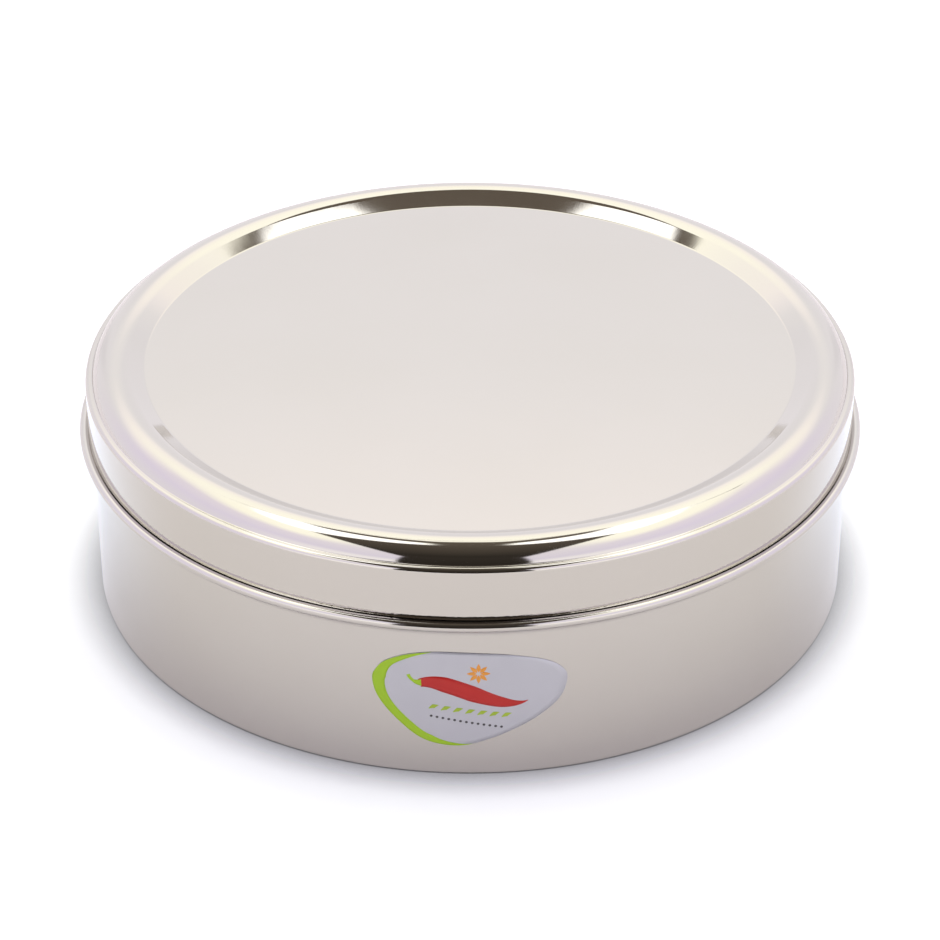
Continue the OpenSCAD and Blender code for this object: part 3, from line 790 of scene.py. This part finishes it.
# Half width and height of the sheet's lower face over the plan: a dish z = c - sqrt(R^2 - x^2 - y^2)
# that fades into a gently crowned handle following one cubic curve
def spoonRings(s):
    x = np.r_[-s["bowlR"] * np.cos(np.linspace(0, np.pi / 2, 40)),
              np.linspace(0, s["length"] - s["endW"], s["along"] - 70)[1:],
              s["length"] - s["endW"] + s["endW"] * np.sin(np.linspace(0, np.pi / 2, 32))[1:]]
    inBowl = np.sqrt(np.clip(s["bowlR"] ** 2 - x ** 2, 0, None))
    neckEnd = s["neckFrom"] + s["neckRun"]
    handle = np.interp(x, [0, neckEnd, s["length"] - s["endW"]], [s["neckW"], s["neckW"], s["endW"]])
    tail = np.clip((x - (s["length"] - s["endW"])) / s["endW"], 0, 1)
    handle = handle * np.sqrt(1 - tail ** 2)
    neck = np.clip((x - s["neckFrom"]) / s["neckRun"], 0, 1)
    neck = neck * neck * (3 - 2 * neck)
    start = math.sqrt(s["bowlR"] ** 2 - s["neckFrom"] ** 2)
    w = np.where(x < s["neckFrom"], inBowl, start * (1 - neck) ** 2 + handle * (1 - (1 - neck) ** 2))
    sphere = (s["bowlR"] ** 2 + s["depth"] ** 2) / (2 * s["depth"])
    v = np.linspace(-1, 1, s["across"])
    y = w[:, None] * v
    gridX = x[:, None] + 0 * y
    flat = np.clip(gridX ** 2 + y ** 2, 0, s["bowlR"] ** 2)
    dish = s["z"] + sphere - np.sqrt(sphere ** 2 - flat)
    u = np.clip((x - s["handleFrom"]) / (s["length"] - s["handleFrom"]), 0, 1)
    knots = s["z"] + np.array(s["handleKnots"])
    curve = ((1 - u) ** 3 * knots[0] + 3 * u * (1 - u) ** 2 * knots[1]
             + 3 * u ** 2 * (1 - u) * knots[2] + u ** 3 * knots[3])
    crown = curve[:, None] - s["crown"] * (y ** 2) / np.maximum(w[:, None], 1)
    blend = np.clip((gridX - s["liftFrom"]) / s["liftRun"], 0, 1)
    blend = blend * blend * (3 - 2 * blend)
    z = dish * (1 - blend) + crown * blend
    low = np.stack([gridX + s["centre"][0], y + s["centre"][1], z], -1)
    du, dv = np.gradient(low, axis=0), np.gradient(low, axis=1)
    up = np.cross(du, dv)
    size = np.linalg.norm(up, axis=-1, keepdims=True)
    up = np.where(size > 1e-6, up / np.maximum(size, 1e-6), (0, 0, 1))
    up[:2] = up[2]
    up[-2:] = up[-3]
    high = low + s["sheet"] * up
    nose = np.radians(np.linspace(0, 180, 7))[1:-1]
    edges = []
    for side, edgeLow, edgeHigh in ((1, low[:, -1], high[:, -1]), (-1, high[:, 0], low[:, 0])):
        middle, arm = (edgeLow + edgeHigh) / 2, (edgeLow - edgeHigh) / 2
        out = np.zeros_like(middle)
        out[:, 1] = side * s["sheet"] / 4 * np.minimum(w, 1)
        edges.append(middle[:, None] + arm[:, None] * np.cos(nose)[None, :, None]
                     + out[:, None] * np.sin(nose)[None, :, None])
    loops = np.concatenate([low, edges[0], high[:, ::-1], edges[1]], axis=1)
    tip = loops[:1].mean(1, keepdims=True) + 0 * loops[:1]
    end = loops[-1:].mean(1, keepdims=True) + 0 * loops[-1:]
    return np.concatenate([tip, loops, end])


spoon = ringMesh("spoonBody", spoonRings(spoonSize))
finishPiece(spoon, steel["spoon"], "spoon", "spoon_steel", "spoon")


labelSize = {
    "wallR": 101.6, "filmFrom": 0.02, "filmTo": 0.2, "inkStep": 0.012, "inkDepth": 0.05,
    "outline": [(-24.1, 27.7), (-23.4, 30.3), (-21.1, 33.2), (-16.6, 35.5), (-11.7, 36.7), (-6.0, 37.15),
                (4.6, 36.7), (11.5, 35.8), (18.1, 34.1), (22.2, 31.6), (24.0, 28.1), (22.2, 22.1),
                (16.9, 17.2), (10.7, 13.6), (4.5, 10.9), (-1.6, 9.15), (-7.6, 9.4), (-12.5, 11.2),
                (-16.6, 14.6), (-20.7, 19.2), (-23.2, 23.4)],
    "crescentTopX": -9.5, "crescentFootX": 1.0,
    "crescentAt": [0, 0.12, 0.36, 0.6, 0.82, 1], "crescentWide": [0.02, 1.3, 3.3, 2.6, 2.1, 0.02],
    "chilli": [(-12.4, 27.7), (-6.5, 27.2), (1.0, 25.2), (8.0, 21.8), (14.4, 22.4)],
    "chilliHalf": [1.2, 2.3, 2.35, 1.5, 0.05],
    "stalk": [(-12.0, 27.8), (-14.0, 28.3), (-15.2, 30.0)], "stalkHalf": [1.0, 0.4, 0.45],
    "leafFrom": (-9.0, 20.6), "leafStep": (3.0, -0.42), "leaves": 7,
    "leaf": [(-1.2, -0.5), (0, 0.25), (1.3, 0.6)], "leafHalf": [0.08, 0.62, 0.05],
    "dotFrom": (-9.6, 17.9), "dotStep": (1.45, -0.27), "dots": 13, "dotR": 0.36,
    "aniseAt": (2.1, 30.9), "petals": 8, "petalFrom": 0.5, "petalTo": 2.9,
    "petalHalf": [0.08, 0.55, 0.44, 0.05],
}


# A closed Catmull-Rom curve through the corner points
def closedCurve(points, per=14):
    p = np.array(points, float)
    a, b, c, d = np.roll(p, 1, 0), p, np.roll(p, -1, 0), np.roll(p, -2, 0)
    t = np.linspace(0, 1, per, endpoint=False)[:, None, None]
    q = 0.5 * (2 * b + (c - a) * t + (2 * a - 5 * b + 4 * c - d) * t ** 2
               + (3 * b - a - 3 * c + d) * t ** 3)
    return q.transpose(1, 0, 2).reshape(-1, 2)


# A thin patch on the wall: its outline shrinks to its middle in steps, on the back and on the front,
# and each point (x, z) goes to (x, -sqrt(R^2 - x^2), z)
def patchRings(outline, fromR, toR, steps=14):
    middle = outline.mean(0)
    shares = np.r_[np.linspace(0, 1, steps), [1.0], np.linspace(1, 0, steps) * 0.998]
    radii = np.r_[np.full(steps, fromR), [(fromR + toR) / 2], np.full(steps, toR)]
    flat = middle + shares[:, None, None] * (outline - middle)
    x, z = flat[..., 0], flat[..., 1]
    return np.stack([x, -np.sqrt(radii[:, None] ** 2 - x ** 2), z], -1)


# A ribbon between two curves as a closed outline patch, for shapes that are not round
def ribbonRings(lower, upper, fromR, toR, steps=5):
    share = np.r_[np.linspace(0, 1, steps), np.linspace(1, 0, steps)]
    radii = np.r_[np.full(steps, fromR), np.full(steps, toR)]
    flat = lower[:, None] + share[None, :, None] * (upper - lower)[:, None]
    x, z = flat[..., 0], flat[..., 1]
    loops = np.stack([x, -np.sqrt(radii[None, :] ** 2 - x ** 2), z], -1)
    tip = loops[:1].mean(1, keepdims=True) + 0 * loops[:1]
    end = loops[-1:].mean(1, keepdims=True) + 0 * loops[-1:]
    return np.concatenate([tip, loops, end])


# A tapering stroke: a middle line through the points with a half width at each of them
def strokeEdges(points, widths, per=48):
    p, w = np.array(points, float), np.array(widths, float)
    t = np.linspace(0, len(p) - 1, per)
    order = min(3, len(p) - 1)
    middle = np.stack([np.polyval(np.polyfit(np.arange(len(p)), p[:, i], order), t) for i in (0, 1)], 1)
    half = np.interp(t, np.arange(len(p)), w)
    ahead = np.gradient(middle, axis=0)
    ahead /= np.linalg.norm(ahead, axis=1)[:, None]
    normal = np.stack([-ahead[:, 1], ahead[:, 0]], 1)
    return middle - normal * half[:, None], middle + normal * half[:, None]


backR = labelSize["wallR"] + labelSize["filmFrom"]
frontR = labelSize["wallR"] + labelSize["filmTo"]
outline = closedCurve(labelSize["outline"])
labelFilm = ringMesh("labelFilm", patchRings(outline, backR, frontR))
finishPiece(labelFilm, film["silver"], "tub", "label_film", "label")

# the crescent follows the film's left edge from its top to its foot, widest at the left
bearing = np.arctan2(outline[:, 1] - 24, outline[:, 0] + 2) % (2 * np.pi)
limitX = np.where(outline[:, 1] > 24, labelSize["crescentTopX"], labelSize["crescentFootX"])
onLeft = outline[:, 0] < limitX
crescentOuter = outline[onLeft][np.argsort(bearing[onLeft])]
place = np.linspace(0, 1, len(crescentOuter))
thick = np.interp(place, labelSize["crescentAt"], labelSize["crescentWide"])
inward = np.array([0.0, 24.0]) - crescentOuter
inward /= np.linalg.norm(inward, axis=1)[:, None]
crescentInner = crescentOuter + inward * thick[:, None]
inkR = frontR + labelSize["inkStep"]
inkBase = frontR - labelSize["inkDepth"]
crescent = ringMesh("labelCrescent", ribbonRings(crescentOuter, crescentInner, inkBase, inkR))
finishPiece(crescent, film["green"], "tub", "label_film")


# A round dot on the film, as a patch
def dotRings(centre, size, around=20):
    turn = np.linspace(0, 2 * np.pi, around, endpoint=False)
    circle = np.stack([centre[0] + size * np.cos(turn), centre[1] + size * np.sin(turn)], 1)
    return patchRings(circle, inkBase, inkR, 4)


# A tapering stroke on the film, as a ribbon
def strokeRings(points, widths):
    return ribbonRings(*strokeEdges(points, widths), inkBase, inkR)


# a generic motif without letters: a chilli pod, a star anise, a row of leaves and a dotted line
chilli = ringMesh("labelChilli", strokeRings(labelSize["chilli"], labelSize["chilliHalf"]))
finishPiece(chilli, film["red"], "tub", "label_film")
stalk = ringMesh("labelStalk", strokeRings(labelSize["stalk"], labelSize["stalkHalf"]))
finishPiece(stalk, film["green"], "tub", "label_film")
leafPlaces = [np.array(labelSize["leafFrom"]) + i * np.array(labelSize["leafStep"])
              for i in range(labelSize["leaves"])]
leaves = ringMesh("labelLeaves", *[strokeRings(at + np.array(labelSize["leaf"]), labelSize["leafHalf"])
                                   for at in leafPlaces])
finishPiece(leaves, film["leaf"], "tub", "label_film")
dotPlaces = [np.array(labelSize["dotFrom"]) + i * np.array(labelSize["dotStep"])
             for i in range(labelSize["dots"])]
dots = ringMesh("labelDots", *[dotRings(at, labelSize["dotR"]) for at in dotPlaces])
finishPiece(dots, film["ink"], "tub", "label_film")
reach = np.linspace(labelSize["petalFrom"], labelSize["petalTo"], len(labelSize["petalHalf"]))[:, None]
petals = [strokeRings(labelSize["aniseAt"] + reach * (math.sin(turn), math.cos(turn)), labelSize["petalHalf"])
          for turn in np.linspace(0, 2 * np.pi, labelSize["petals"], endpoint=False)]
finishPiece(ringMesh("labelAnise", *petals), film["orange"], "tub", "label_film")
print("label done")
